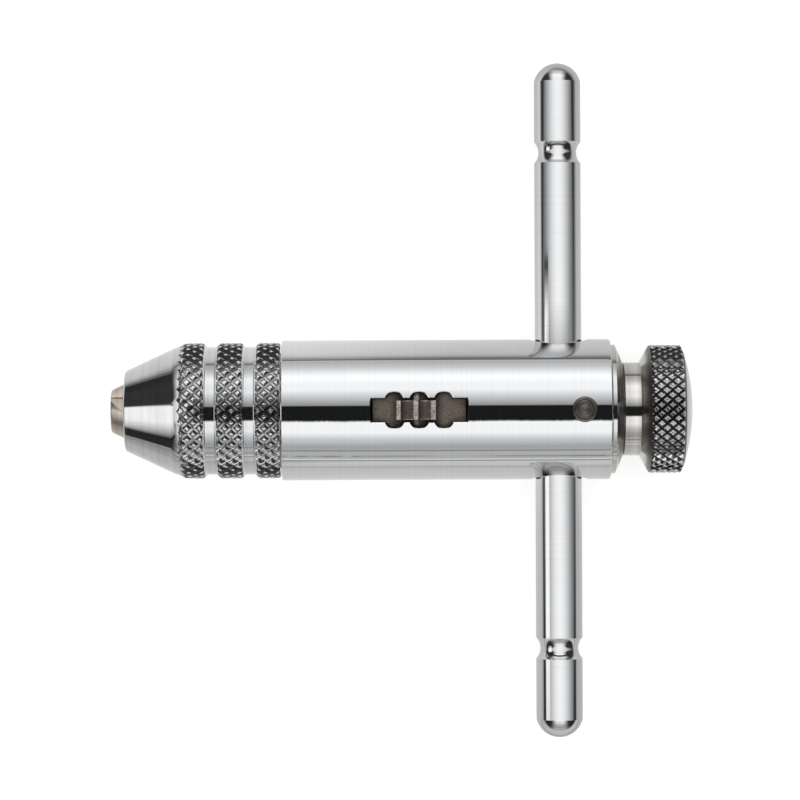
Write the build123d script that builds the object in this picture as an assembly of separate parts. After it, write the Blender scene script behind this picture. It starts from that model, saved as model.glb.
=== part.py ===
from build123d import *
import os
from math import cos, radians, sin, sqrt, tan

# Ratchet tap wrench, lying with its tool axis on X and its sliding bar on Y.
# Origin: on the tool axis, in the plane of the jaws' front faces.
# +X runs from the chuck's nose to the clamping knob, +Z is the side with the selector window.
# All sizes are millimetres and all angles are degrees.

# Jaws and the square they hold
smallest_square = 2.4
largest_square = 5.5
socket_depth = 9.2
jaw_front_radius = 3.10
jaw_flat_half_width = 3.14
jaw_split_gap = 0.2
jaw_length = 14.45
jaw_front_round = 0.35
jaw_tilt = 38.0
cone_half_angle = 25.0
jaw_spring_radius = 0.85
jaw_spring_spacing = 3.2
jaw_spring_from_rear = 2.65
jaw_spring_hole_depth = 2.6
jaw_spring_wire = 0.30

# Barrel of the housing, and the walls that size what runs in it
housing_radius = 10.25
housing_chamfer = 0.24
barrel_wall = 3.72
rear_wall = 2.25
washer_wall = 1.70
window_wall = 1.15

# Chuck sleeve
jaw_protrusion = 2.05
sleeve_length = 22.75
sleeve_step = 0.29
sleeve_thread_wall = 1.28
nose_radius = 5.90
nose_round = 0.4
nose_cone_length = 8.87
shoulder_round = 4.5
groove_depth = 0.63
groove_flank = 0.65
front_groove_start = 12.0
front_groove_width = 1.35
rear_groove_start = 17.6
rear_groove_width = 1.40
sleeve_end_chamfer = 0.35
sleeve_thread_end = 16.95
sleeve_relief = 0.3

# Stop ring that keeps the sleeve on the spindle
stop_ring_width = 1.0
stop_ring_gap = 2.0
stop_ring_setback = 1.2
stop_ring_groove_depth = 0.55

# Spindle
fork_front_x = 6.5
undercut_depth = 0.9
collar_width = 1.0
tooth_count = 12
tooth_depth = 1.0
tooth_space_half_width = 0.85
tooth_ramp_angle = 18.0
runout_depth = 1.1
runout_width = 0.7
ring_groove_depth = 0.9
spindle_tail = 0.75
spindle_end_step = 0.3

# Retaining ring behind the housing's bore
retaining_ring_width = 0.8
retaining_ring_gap = 4.0

# Thrust washer
washer_thickness = 1.0
washer_stand_out = 0.05

# Selector window: a slot with three lobes, one for each position
window_setback = 20.0
window_length = 13.4
window_half_width = 1.6
lobe_pitch = 3.56
lobe_width = 2.5
lobe_length = 5.0
keyway_half_width = 2.8

# Selector
selector_offset = -0.4
plate_cover = 0.24
plate_roof_gap = 0.35
block_length = 5.75
block_half_width = 1.37
rib_proud = 0.5
rib_width = 0.71
saddle_depth = 0.5
wing_half_span = 2.19
foot_round = 0.3

# Pawl and its spring
pawl_length = 2.6
pawl_width = 1.5
pawl_tip_chamfer = 0.2
pawl_top_room = 0.75
pawl_spring_radius = 0.45
pawl_spring_wire = 0.18
pawl_tip_thickness = 0.7
pocket_roof_wall = 0.9

# Tommy bar
bar_radius = 3.41
bar_length = 98.7
bar_offset = 1.32
bar_dome_height = 2.7
bar_groove_from_centre = 36.25
bar_groove_half_width = 1.54
bar_groove_depth = 0.63
bar_countersink = 0.9

# Ball detent
ball_radius = 1.8
detent_spring_radius = 1.5
detent_spring_wire = 0.36
plug_thickness = 1.6
plug_dome = 0.12
plug_recess = 0.10

# Rear bush
bush_front_wall = 0.75
bush_screw_wall = 0.33
bush_flange_step = 0.8
bush_flange_length = 0.7
bush_cone_length = 1.15
bush_cone_drop = 2.6
clamp_thread_depth = 3.75

# Clamping knob and pad
clamp_thread_radius = 5.0
screw_chamfer = 0.4
neck_length = 2.38
knob_cone_length = 1.45
grip_length = 4.55
knob_edge_length = 0.45
knob_edge_drop = 1.03
knob_dome_height = 1.35
pad_bore_wall = 0.195
pad_neck_radius = 1.15
pad_head_radius = 1.6
pad_head_length = 0.8
screw_lip = 0.28

# Clearances, each named for the pair that it separates
cone_clearance = 0.03
fork_clearance = 0.15
jaw_slot_clearance = 0.06
jaw_floor_clearance = 0.05
thread_clearance = 0.05
journal_clearance = 0.03
collar_clearance = 0.15
undercut_clearance = 0.15
washer_clearance = 0.05
washer_bore_clearance = 0.1
crest_clearance = 0.08
pawl_crest_gap = 0.05
ring_side_clearance = 0.05
ring_rim_clearance = 0.4
ring_float = 0.1
axial_play = 0.05
spring_hole_clearance = 0.10
pocket_clearance = 0.03
plate_clearance = 0.07
plate_side_clearance = 0.1
keyway_end_clearance = 0.4
bar_clearance = 0.05
ball_hole_clearance = 0.05
detent_contact_gap = 0.02
press_gap = 0.02
spring_end_gap = 0.03
sleeve_housing_gap = 0.18
bush_spindle_gap = 0.41
knob_gap = 0.07
neck_step = 0.04
knob_step = 0.07
screw_floor_gap = 0.22
pad_bore_clearance = 0.05
pad_screw_gap = 0.32
pad_swivel_gap = 0.1
swivel_radial_gap = 0.15

# Radii that follow from the barrel and its walls
bore_radius = housing_radius - barrel_wall
journal_radius = bore_radius - journal_clearance
washer_seat_radius = housing_radius - washer_wall
rear_chamber_radius = housing_radius - rear_wall
sleeve_radius = housing_radius - sleeve_step
sleeve_thread_bore = sleeve_radius - groove_depth - sleeve_thread_wall
chuck_thread_radius = sleeve_thread_bore - thread_clearance
sleeve_relief_radius = sleeve_thread_bore + sleeve_relief
collar_radius = sleeve_relief_radius - collar_clearance
undercut_radius = chuck_thread_radius - undercut_depth
tooth_crest_radius = bore_radius - crest_clearance
tooth_root_radius = tooth_crest_radius - tooth_depth
ring_groove_radius = journal_radius - ring_groove_depth

# Chuck: the cone turns the sleeve's travel into the jaws' travel
cone_slope = tan(radians(cone_half_angle))
jaw_travel = (largest_square - smallest_square) / sqrt(2)
sleeve_travel = jaw_travel / cone_slope
jaw_body_radius = sleeve_thread_bore - jaw_travel - cone_clearance
slot_floor_x = jaw_length + jaw_floor_clearance
jaw_spring_x = jaw_length - jaw_spring_from_rear
jaw_spring_hole = jaw_spring_radius + spring_hole_clearance

# Levels above the tool axis, at the selector
keyway_roof = housing_radius - window_wall
plate_bottom = journal_radius + plate_clearance
plate_top = keyway_roof - plate_roof_gap
rib_top = housing_radius + rib_proud
pocket_roof = rib_top - saddle_depth - pocket_roof_wall
pawl_tip = tooth_crest_radius + pawl_crest_gap
pawl_top = pocket_roof - pawl_top_room
pawl_spring_foot = pawl_tip + pawl_tip_thickness

# Levels above the tool axis, at the bar and its detent
bar_hole_radius = bar_radius + bar_clearance
detent_hole_radius = ball_radius + ball_hole_clearance
ball_reach = bar_radius + detent_contact_gap + ball_radius
ball_z = sqrt(ball_reach**2 - bar_radius**2)
detent_floor = ball_z - ball_radius - detent_contact_gap
plug_face = sqrt(housing_radius**2 - detent_hole_radius**2) - plug_recess
plug_foot = plug_face - plug_thickness
pad_bore_radius = detent_floor - pad_bore_wall
pad_radius = pad_bore_radius - pad_bore_clearance

# Stations along the tool axis, each reckoned from the one in front of it
nose_x = jaw_protrusion
sleeve_end_x = nose_x + sleeve_length
housing_front_x = sleeve_end_x + sleeve_housing_gap
stop_ring_x = sleeve_end_x - stop_ring_setback - stop_ring_width
thread_end_x = stop_ring_x - sleeve_travel
washer_x = housing_front_x - washer_stand_out
washer_seat_x = washer_x + washer_thickness
collar_end_x = washer_x - axial_play
window_x = housing_front_x + window_setback
teeth_start_x = window_x - 1.5 * lobe_pitch
teeth_end_x = window_x + 1.5 * lobe_pitch
selector_x = window_x + selector_offset
plate_length = window_length + 2 * lobe_pitch + 2 * plate_cover
plate_start_x = selector_x - plate_length / 2
plate_end_x = selector_x + plate_length / 2
selector_forward = lobe_pitch + selector_offset
selector_back = lobe_pitch - selector_offset
chamber_x = plate_end_x + selector_back + axial_play
ring_seat_x = chamber_x + ring_float
ring_groove_end_x = ring_seat_x + retaining_ring_width + ring_side_clearance
spindle_end_x = ring_groove_end_x + spindle_tail
bush_front_x = spindle_end_x + bush_spindle_gap
bar_x = bush_front_x + bush_front_wall + bar_hole_radius
detent_x = bar_x + bar_radius
screw_floor_x = detent_x + detent_hole_radius + bush_screw_wall
bush_end_x = screw_floor_x + clamp_thread_depth
bush_cone_x = bush_end_x - bush_cone_length
housing_rear_x = bush_cone_x - bush_flange_length
knob_front_x = bush_end_x + knob_gap
screw_front_x = screw_floor_x + screw_floor_gap
pad_rear_x = screw_front_x - pad_screw_gap
pad_cavity_x = screw_front_x + screw_lip
pad_head_x = pad_cavity_x + pad_swivel_gap

# Radii of the bush's collar, and of the knob and its neck behind it
bush_flange_radius = housing_radius - bush_flange_step
bush_cone_end_radius = bush_flange_radius - bush_cone_drop
knob_radius = bush_flange_radius - knob_step
neck_radius = bush_cone_end_radius - neck_step


def turned(*profile):
    """A solid turned about the tool axis from (x, radius) corners."""
    return revolve(make_face(Polyline(*profile, close=True)), Axis.X)


def rod(start_x, end_x, radius):
    """A plain round rod on the tool axis."""
    return turned((start_x, 0), (end_x, 0), (end_x, radius), (start_x, radius))


def upright(x, bottom, top, radius):
    """A round rod square to the tool axis, standing on it at x."""
    return Pos(x, 0, bottom) * extrude(Circle(radius), amount=top - bottom)


def along_bar(half_length, radius):
    """A round rod on the bar's axis, centred on the tool axis."""
    return Pos(bar_x, 0, 0) * extrude(Plane.XZ * Circle(radius), amount=half_length, both=True)


def block(x_range, y_range, z_range):
    """A box between pairs of coordinates."""
    size = [high - low for low, high in (x_range, y_range, z_range)]
    corner = Pos(x_range[0], y_range[0], z_range[0])
    return corner * Box(*size, align=(Align.MIN, Align.MIN, Align.MIN))


def coil(radius, wire, length, turns):
    """A coil spring of square wire standing on the XY plane, its outside at the given radius."""
    pitch = (length - wire) / turns
    path = Helix(pitch, length - wire, radius - wire / 2)
    section = Plane.XZ * Pos(radius - wire / 2, 0) * Rectangle(wire, wire)
    return Pos(0, 0, wire / 2) * sweep(section, path=path, is_frenet=True)


def split_ring(start_x, width, outer, inner, gap):
    """A spring ring on the tool axis, open at the bottom."""
    ring = rod(start_x, start_x + width, outer) - rod(start_x, start_x + width, inner)
    return ring - block((start_x, start_x + width), (-gap / 2, gap / 2), (-outer, 0))


def sleeve_cone(x):
    """Radius of the sleeve's inner cone at x, with the chuck closed."""
    return jaw_front_radius + x * cone_slope + cone_clearance / cos(radians(cone_half_angle))


def tilted(piece):
    """Turns a piece made with its jaws opening along Y to the chuck's own angle."""
    return Rot(X=-jaw_tilt) * piece


# Chuck

def jaw(side):
    """One jaw: half of a cone with two flats, a V groove and two spring holes."""
    cone_end_x = (jaw_body_radius - jaw_front_radius) / cone_slope
    body = turned(
        (0, 0),
        (0, jaw_front_radius),
        (cone_end_x, jaw_body_radius),
        (jaw_length, jaw_body_radius),
        (jaw_length, 0),
    )
    front_edge = body.edges().sort_by(Axis.X)[0]
    body = fillet(front_edge, jaw_front_round)
    half = block(
        (0, jaw_length),
        (jaw_split_gap / 2, jaw_body_radius),
        (-jaw_flat_half_width, jaw_flat_half_width),
    )
    apex = smallest_square / sqrt(2)
    groove = Polyline((apex, 0), (-apex, 2 * apex), (-apex, -2 * apex), close=True)
    body = (body & half) - extrude(Plane.YZ * make_face(groove), amount=socket_depth)
    for offset in (-jaw_spring_spacing / 2, jaw_spring_spacing / 2):
        hole = Plane.XZ * Pos(jaw_spring_x, offset) * Circle(jaw_spring_hole)
        body -= extrude(hole, amount=-jaw_spring_hole_depth)
    return tilted(body if side > 0 else Rot(X=180) * body)


def jaw_spring(side):
    """Coil spring that pushes the jaws apart."""
    length = 2 * (jaw_spring_hole_depth - spring_end_gap)
    spring = Pos(0, 0, -length / 2) * coil(jaw_spring_radius, jaw_spring_wire, length, 6)
    return tilted(Pos(jaw_spring_x, 0, side * jaw_spring_spacing / 2) * Rot(X=90) * spring)


def chuck_sleeve():
    """Sleeve with a cone at the nose, three gripping bands and a screwed bore."""
    band_foot = sleeve_radius - groove_depth
    nose_corner = (nose_x, nose_radius)
    grooves = []
    for start, width in (
        (front_groove_start, front_groove_width),
        (rear_groove_start, rear_groove_width),
    ):
        foot = nose_x + start
        grooves += [
            (foot - groove_flank, sleeve_radius),
            (foot, band_foot),
            (foot + width, band_foot),
            (foot + width + groove_flank, sleeve_radius),
        ]
    cone_end_x = (sleeve_thread_bore - sleeve_cone(0)) / cone_slope
    thread_end = nose_x + sleeve_thread_end
    groove_start = stop_ring_x - ring_side_clearance
    groove_end = stop_ring_x + stop_ring_width + ring_side_clearance
    groove_radius = sleeve_relief_radius + stop_ring_groove_depth
    body = turned(
        nose_corner,
        (nose_x + nose_cone_length, sleeve_radius),
        *grooves,
        (sleeve_end_x - sleeve_end_chamfer, sleeve_radius),
        (sleeve_end_x, sleeve_radius - sleeve_end_chamfer),
        (sleeve_end_x, sleeve_relief_radius),
        (groove_end, sleeve_relief_radius),
        (groove_end, groove_radius),
        (groove_start, groove_radius),
        (groove_start, sleeve_relief_radius),
        (thread_end, sleeve_relief_radius),
        (thread_end, sleeve_thread_bore),
        (cone_end_x, sleeve_thread_bore),
        (nose_x, sleeve_cone(nose_x)),
    )
    rims = body.edges().filter_by(GeomType.CIRCLE)
    nose_rim = rims.filter_by(lambda edge: edge.center().X < nose_x + 0.01).sort_by(
        lambda edge: edge.radius
    )[-1]
    body = fillet(nose_rim, nose_round)
    shoulder = body.edges().filter_by(GeomType.CIRCLE).sort_by(
        lambda edge: abs(edge.center().X - nose_x - nose_cone_length)
    )[0]
    return fillet(shoulder, shoulder_round)


def sleeve_stop_ring():
    """Spring ring in the sleeve: it meets the spindle's thread when the chuck is fully open."""
    outer = sleeve_relief_radius + stop_ring_groove_depth - ring_side_clearance
    inner = undercut_radius + undercut_clearance
    return split_ring(stop_ring_x, stop_ring_width, outer, inner, stop_ring_gap)


# Spindle

def tooth_space(ramp):
    """Section of one tooth space on +Z: square on one side, or on both for the locked zone."""
    wall = tooth_space_half_width
    floor = tooth_root_radius
    over = tooth_crest_radius + 2
    if ramp == 0:
        corners = [(-wall, floor), (wall, floor), (wall, over), (-wall, over)]
    else:
        crest_y = tooth_crest_radius * sin(radians(tooth_ramp_angle))
        crest_z = tooth_crest_radius * cos(radians(tooth_ramp_angle))
        rise = (crest_z - floor) / (crest_y - wall)
        out_y = wall + (over - floor) / rise
        corners = [(-ramp * wall, floor), (-ramp * wall, over), (ramp * out_y, over), (ramp * wall, floor)]
    return make_face(Polyline(*corners, close=True))


def spindle():
    """Spindle: fork and thread for the chuck, journals, and a ratchet wheel in three zones."""
    fork_offset = fork_clearance / cos(radians(cone_half_angle))
    thread_x = (chuck_thread_radius - sleeve_cone(0) + fork_offset) / cone_slope
    runout_radius = journal_radius - runout_depth
    end_radius = journal_radius - spindle_end_step
    body = turned(
        (fork_front_x, 0),
        (fork_front_x, sleeve_cone(fork_front_x) - fork_offset),
        (thread_x, chuck_thread_radius),
        (thread_end_x, chuck_thread_radius),
        (thread_end_x, undercut_radius),
        (collar_end_x - collar_width, undercut_radius),
        (collar_end_x - collar_width, collar_radius),
        (collar_end_x, collar_radius),
        (collar_end_x, journal_radius),
        (teeth_start_x - runout_width, journal_radius),
        (teeth_start_x - runout_width, runout_radius),
        (teeth_start_x, runout_radius),
        (teeth_start_x, tooth_crest_radius),
        (teeth_end_x, tooth_crest_radius),
        (teeth_end_x, runout_radius),
        (teeth_end_x + runout_width, runout_radius),
        (teeth_end_x + runout_width, journal_radius),
        (ring_seat_x - ring_side_clearance, journal_radius),
        (ring_seat_x - ring_side_clearance, ring_groove_radius),
        (ring_groove_end_x, ring_groove_radius),
        (ring_groove_end_x, end_radius),
        (spindle_end_x, end_radius),
        (spindle_end_x, 0),
    )
    slot_half_width = jaw_flat_half_width + jaw_slot_clearance
    slot = block(
        (fork_front_x, slot_floor_x),
        (-chuck_thread_radius, chuck_thread_radius),
        (-slot_half_width, slot_half_width),
    )
    body -= tilted(slot)
    for zone, ramp in enumerate((-1, 0, 1)):
        section = Plane.YZ.offset(teeth_start_x + zone * lobe_pitch) * tooth_space(ramp)
        space = extrude(section, amount=lobe_pitch)
        body -= [Rot(X=360 * tooth / tooth_count) * space for tooth in range(tooth_count)]
    return body


def retaining_ring():
    """Spring ring that holds the spindle in the housing."""
    outer = rear_chamber_radius - ring_rim_clearance
    inner = ring_groove_radius + ring_side_clearance
    return split_ring(ring_seat_x, retaining_ring_width, outer, inner, retaining_ring_gap)


def thrust_washer():
    """Washer that takes the push on the tap."""
    washer = rod(washer_x, washer_seat_x, washer_seat_radius - washer_clearance)
    return washer - rod(washer_x, washer_seat_x, journal_radius + washer_bore_clearance)


# Housing and rear bush

def bar_hole():
    """The cross hole for the bar, countersunk at both mouths."""
    rim = bar_hole_radius + bar_countersink
    mouth = housing_radius
    corners = [(0, -mouth), (rim, -mouth), (bar_hole_radius, -mouth + bar_countersink)]
    corners += [(x, -y) for x, y in reversed(corners)]
    drill = revolve(make_face(Polyline(*corners, close=True)), Axis.Y)
    return Pos(bar_x, 0, 0) * drill


def window():
    """The selector window: a slot crossed by three lobes."""
    outline = Rectangle(window_length, 2 * window_half_width)
    for step in (-1, 0, 1):
        outline += Pos(step * lobe_pitch, 0) * Rot(Z=90) * SlotOverall(lobe_length, lobe_width)
    return Pos(window_x, 0, keyway_roof - 0.5) * extrude(outline, amount=housing_radius)


def housing():
    """Housing: a plain barrel with the spindle's bore, the keyway, the window and two cross holes."""
    body = turned(
        (housing_front_x, housing_radius - housing_chamfer),
        (housing_front_x + housing_chamfer, housing_radius),
        (housing_rear_x - housing_chamfer, housing_radius),
        (housing_rear_x, housing_radius - housing_chamfer),
        (housing_rear_x, rear_chamber_radius),
        (chamber_x, rear_chamber_radius),
        (chamber_x, bore_radius),
        (washer_seat_x, bore_radius),
        (washer_seat_x, washer_seat_radius),
        (housing_front_x, washer_seat_radius),
    )
    keyway_x = plate_start_x - selector_forward - keyway_end_clearance
    keyway = block(
        (keyway_x, chamber_x + ring_float),
        (-keyway_half_width, keyway_half_width),
        (0, keyway_roof),
    )
    detent_hole = upright(detent_x, detent_floor, housing_radius, detent_hole_radius)
    return body - keyway - window() - bar_hole() - detent_hole


def rear_bush():
    """Bush that fills the housing's rear: it guides the bar and takes the clamping screw."""
    shank_radius = rear_chamber_radius - press_gap
    body = turned(
        (bush_front_x, 0),
        (bush_front_x, shank_radius),
        (housing_rear_x, shank_radius),
        (housing_rear_x, bush_flange_radius),
        (bush_cone_x, bush_flange_radius),
        (bush_end_x, bush_cone_end_radius),
        (bush_end_x, 0),
    )
    screw_bore = rod(screw_floor_x, bush_end_x, clamp_thread_radius + thread_clearance)
    pad_bore = rod(bar_x, screw_floor_x, pad_bore_radius)
    detent_hole = upright(detent_x, detent_floor, housing_radius, detent_hole_radius)
    return body - screw_bore - pad_bore - bar_hole() - detent_hole


# Selector, pawl and spring

def selector():
    """Selector: a plate in the keyway, a thumb block with three ribs, and two wings."""
    plate_half_width = keyway_half_width - plate_side_clearance
    plate = block(
        (plate_start_x, plate_end_x),
        (-plate_half_width, plate_half_width),
        (plate_bottom, plate_top),
    )
    start = selector_x - block_length / 2
    end = selector_x + block_length / 2
    thumb = block((start, end), (-block_half_width, block_half_width), (plate_bottom, rib_top))
    span = (block_length - 3 * rib_width) / 2
    saddle_radius = ((span / 2) ** 2 + saddle_depth**2) / (2 * saddle_depth)
    saddle_z = rib_top - saddle_depth + saddle_radius
    for centre in (start + rib_width + span / 2, end - rib_width - span / 2):
        saddle = Plane.XZ * Pos(centre, saddle_z) * Circle(saddle_radius)
        thumb -= extrude(saddle, amount=block_half_width, both=True)
    wing_top = keyway_roof - plate_clearance
    wings = block(
        (selector_x - rib_width / 2, selector_x + rib_width / 2),
        (-wing_half_span, wing_half_span),
        (plate_bottom, wing_top),
    )
    body = plate + thumb + wings
    foot_edges = body.edges().filter_by(Axis.Y).filter_by(
        lambda edge: abs(edge.center().Z - plate_top) < 0.01
        and (abs(edge.center().X - start) < 0.01 or abs(edge.center().X - end) < 0.01)
    )
    body = fillet(foot_edges, foot_round)
    pocket = block(
        (selector_x - pawl_length / 2 - pocket_clearance, selector_x + pawl_length / 2 + pocket_clearance),
        (-pawl_width / 2 - pocket_clearance, pawl_width / 2 + pocket_clearance),
        (plate_bottom, pocket_roof),
    )
    return body - pocket


def pawl():
    """Pawl: a small flat plunger with a spring hole in its top."""
    body = block(
        (selector_x - pawl_length / 2, selector_x + pawl_length / 2),
        (-pawl_width / 2, pawl_width / 2),
        (pawl_tip, pawl_top),
    )
    tip_edges = body.edges().filter_by(Axis.X).group_by(Axis.Z)[0]
    body = chamfer(tip_edges, pawl_tip_chamfer)
    hole_radius = pawl_spring_radius + spring_hole_clearance
    return body - upright(selector_x, pawl_spring_foot, pawl_top, hole_radius)


def pawl_spring():
    """Coil spring between the pawl and the roof of its pocket."""
    length = pocket_roof - pawl_spring_foot - 2 * spring_end_gap
    spring = coil(pawl_spring_radius, pawl_spring_wire, length, 5)
    return Pos(selector_x, 0, pawl_spring_foot + spring_end_gap) * spring


# Tommy bar and its detent

def tommy_bar():
    """Sliding bar with domed ends and a ball groove near each end."""
    half = bar_length / 2
    dome_start = half - bar_dome_height
    dome_radius = (bar_radius**2 + bar_dome_height**2) / (2 * bar_dome_height)
    mid_r = bar_radius * 0.6
    mid_y = half - dome_radius + sqrt(dome_radius**2 - mid_r**2)
    inner = bar_groove_from_centre - bar_groove_half_width
    outer = bar_groove_from_centre + bar_groove_half_width
    floor = bar_radius - bar_groove_depth
    outline = [
        Line((0, -half), (0, half)),
        ThreePointArc((0, half), (mid_r, mid_y), (bar_radius, dome_start)),
        Line((bar_radius, dome_start), (bar_radius, outer)),
        ThreePointArc((bar_radius, outer), (floor, bar_groove_from_centre), (bar_radius, inner)),
        Line((bar_radius, inner), (bar_radius, -inner)),
        ThreePointArc((bar_radius, -inner), (floor, -bar_groove_from_centre), (bar_radius, -outer)),
        Line((bar_radius, -outer), (bar_radius, -dome_start)),
        ThreePointArc((bar_radius, -dome_start), (mid_r, -mid_y), (0, -half)),
    ]
    return Pos(bar_x, bar_offset, 0) * revolve(make_face(outline), Axis.Y)


def detent_ball():
    """Ball that bears on the side of the bar."""
    return Pos(detent_x, 0, ball_z) * Sphere(ball_radius)


def detent_spring():
    """Coil spring between the ball and the plug."""
    foot = ball_z + ball_radius + spring_end_gap
    spring = coil(detent_spring_radius, detent_spring_wire, plug_foot - spring_end_gap - foot, 4)
    return Pos(detent_x, 0, foot) * spring


def detent_plug():
    """Round plug flush in the housing's side, with a slightly domed face."""
    radius = detent_hole_radius - press_gap
    dome_radius = (radius**2 + plug_dome**2) / (2 * plug_dome)
    disc = upright(detent_x, plug_foot, plug_face + plug_dome, radius)
    return disc & (Pos(detent_x, 0, plug_face + plug_dome - dome_radius) * Sphere(dome_radius))


# Clamping knob and pad

def clamp_knob():
    """Knob: a screw, a plain neck, a cone up to the grip and a domed end."""
    neck_end_x = knob_front_x + neck_length
    grip_x = neck_end_x + knob_cone_length
    grip_end_x = grip_x + grip_length
    edge_x = grip_end_x + knob_edge_length
    knob_edge_radius = knob_radius - knob_edge_drop
    apex_x = edge_x + knob_dome_height
    dome_radius = (knob_edge_radius**2 + knob_dome_height**2) / (2 * knob_dome_height)
    mid_r = knob_edge_radius / 2
    mid_x = apex_x - dome_radius + sqrt(dome_radius**2 - mid_r**2)
    outline = [
        Polyline(
            (apex_x, 0),
            (screw_front_x, 0),
            (screw_front_x, clamp_thread_radius - screw_chamfer),
            (screw_front_x + screw_chamfer, clamp_thread_radius),
            (knob_front_x, clamp_thread_radius),
            (knob_front_x, neck_radius),
            (neck_end_x, neck_radius),
            (grip_x, knob_radius),
            (grip_end_x, knob_radius),
            (edge_x, knob_edge_radius),
        ),
        ThreePointArc((edge_x, knob_edge_radius), (mid_x, mid_r), (apex_x, 0)),
    ]
    body = revolve(make_face(outline), Axis.X)
    mouth_radius = pad_neck_radius + swivel_radial_gap
    cavity_radius = pad_head_radius + swivel_radial_gap
    cavity_end = pad_head_x + pad_head_length + axial_play
    body -= rod(screw_front_x, pad_cavity_x, mouth_radius)
    return body - rod(pad_cavity_x, cavity_end, cavity_radius)


def clamp_pad():
    """Pad between the screw and the bar: a saddle face, a neck and a head held in the screw."""
    body = turned(
        (bar_x, 0),
        (bar_x, pad_radius),
        (pad_rear_x, pad_radius),
        (pad_rear_x, pad_neck_radius),
        (pad_head_x, pad_neck_radius),
        (pad_head_x, pad_head_radius),
        (pad_head_x + pad_head_length, pad_head_radius),
        (pad_head_x + pad_head_length, 0),
    )
    return body - along_bar(pad_radius + 1, bar_radius + detent_contact_gap)


pieces = {
    "housing": housing(),
    "rear_bush": rear_bush(),
    "thrust_washer": thrust_washer(),
    "spindle": spindle(),
    "retaining_ring": retaining_ring(),
    "chuck_sleeve": chuck_sleeve(),
    "sleeve_stop_ring": sleeve_stop_ring(),
    "jaw_upper": jaw(1),
    "jaw_lower": jaw(-1),
    "jaw_spring_near": jaw_spring(1),
    "jaw_spring_far": jaw_spring(-1),
    "selector": selector(),
    "pawl": pawl(),
    "pawl_spring": pawl_spring(),
    "tommy_bar": tommy_bar(),
    "detent_ball": detent_ball(),
    "detent_spring": detent_spring(),
    "detent_plug": detent_plug(),
    "clamp_knob": clamp_knob(),
    "clamp_pad": clamp_pad(),
}

os.makedirs("parts", exist_ok=True)
for name, piece in pieces.items():
    export_step(piece, f"parts/{name}.step")
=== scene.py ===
import bmesh
import bpy
from math import asin, cos, degrees, pi, radians, sin, sqrt, tan
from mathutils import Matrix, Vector


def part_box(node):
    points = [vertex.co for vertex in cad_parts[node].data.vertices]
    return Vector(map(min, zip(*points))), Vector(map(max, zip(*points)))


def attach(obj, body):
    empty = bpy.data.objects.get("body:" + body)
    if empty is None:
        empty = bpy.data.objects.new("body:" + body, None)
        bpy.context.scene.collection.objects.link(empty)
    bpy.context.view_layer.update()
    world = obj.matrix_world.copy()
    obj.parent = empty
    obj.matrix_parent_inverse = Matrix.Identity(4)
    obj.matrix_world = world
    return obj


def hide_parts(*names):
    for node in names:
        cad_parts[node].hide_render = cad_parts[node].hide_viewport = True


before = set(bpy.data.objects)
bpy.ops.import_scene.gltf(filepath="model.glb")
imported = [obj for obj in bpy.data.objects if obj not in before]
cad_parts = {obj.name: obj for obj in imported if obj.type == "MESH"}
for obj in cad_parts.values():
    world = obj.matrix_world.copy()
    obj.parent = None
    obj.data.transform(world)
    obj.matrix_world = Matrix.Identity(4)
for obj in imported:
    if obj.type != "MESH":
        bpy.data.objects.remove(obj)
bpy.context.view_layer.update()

# Lengths are written in millimetres and multiplied by MM, since Blender works in metres.
MM = 0.001


def span(node, axis):
    """Lowest and highest coordinate of a CAD node along an axis, in millimetres."""
    low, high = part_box(node)
    return low[axis] / MM, high[axis] / MM


# Stations along the tool axis, from the frame
sleeve_front, sleeve_rear = span("chuck_sleeve", 0)
sleeve_radius = span("chuck_sleeve", 2)[1]
housing_front, housing_rear = span("housing", 0)
housing_radius = span("housing", 2)[1]
knob_front, knob_rear = span("clamp_knob", 0)
knob_radius = span("clamp_knob", 2)[1]
bush_front, bush_rear = span("rear_bush", 0)
bush_radius = span("rear_bush", 2)[1]
bar_x = sum(span("tommy_bar", 0)) / 2
bar_radius = span("tommy_bar", 2)[1]
bar_low, bar_high = span("tommy_bar", 1)
selector_x = sum(span("selector", 0)) / 2
selector_top = span("selector", 2)[1]
plug_x = sum(span("detent_plug", 0)) / 2
plug_foot, plug_face = span("detent_plug", 2)
plug_radius = span("detent_plug", 1)[1]
floor_z = -housing_radius

# Selector's window and thumb block
window_x = housing_front + 20.0
window_half_length = 6.7
window_half_width = 1.6
window_lip = 0.30
rib_width = 0.71
thumb_half_width = 1.37
thumb_half_length = 2.875

# Sleeve
nose_radius = 5.90
nose_round = 0.40
nose_cone_length = 8.87
shoulder_round = 4.3
groove_floor = sleeve_radius - 0.63
groove_flank = 0.65
front_groove = (14.05, 15.40)
rear_groove = (19.65, 21.05)
sleeve_end_chamfer = 0.35
sleeve_thread_bore = 8.05
sleeve_thread_end = 19.00
sleeve_relief = 8.35
stop_groove = (22.55, 23.65, 8.90)
cone_half_angle = 25.0
cone_rise = (sleeve_radius - nose_radius) / nose_cone_length
shoulder_x = sleeve_front + nose_cone_length
band_start = shoulder_x - 1.00

# Rear bush, clamping knob and the ball's hole
shank_radius = 8.0
flange_end = bush_rear - 1.15
screw_radius = 5.0
neck_start, neck_end = 74.82, 77.20
neck_radius = 6.81
grip_start, grip_end = 78.65, 83.20
ball_hole_radius = 1.85

# Knurling: rows of small pyramids, with narrow valleys that a bridge raises where two tiles meet
sleeve_knurl_count = 36
sleeve_knurl_pitch = 1.87
knob_knurl_count = 40
knob_knurl_pitch = 1.62
knurl_height = 0.40
knurl_valley = 0.075
knurl_tip = 0.34
crest_bevel = 0.06
under_valleys = 0.06
chamfer = 0.1
knurl_lining = 1.0
sleeve_bridge = 0.08
knob_bridge = 0.18
valley_radius = sleeve_radius - knurl_height


# Small tools of the bench

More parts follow.
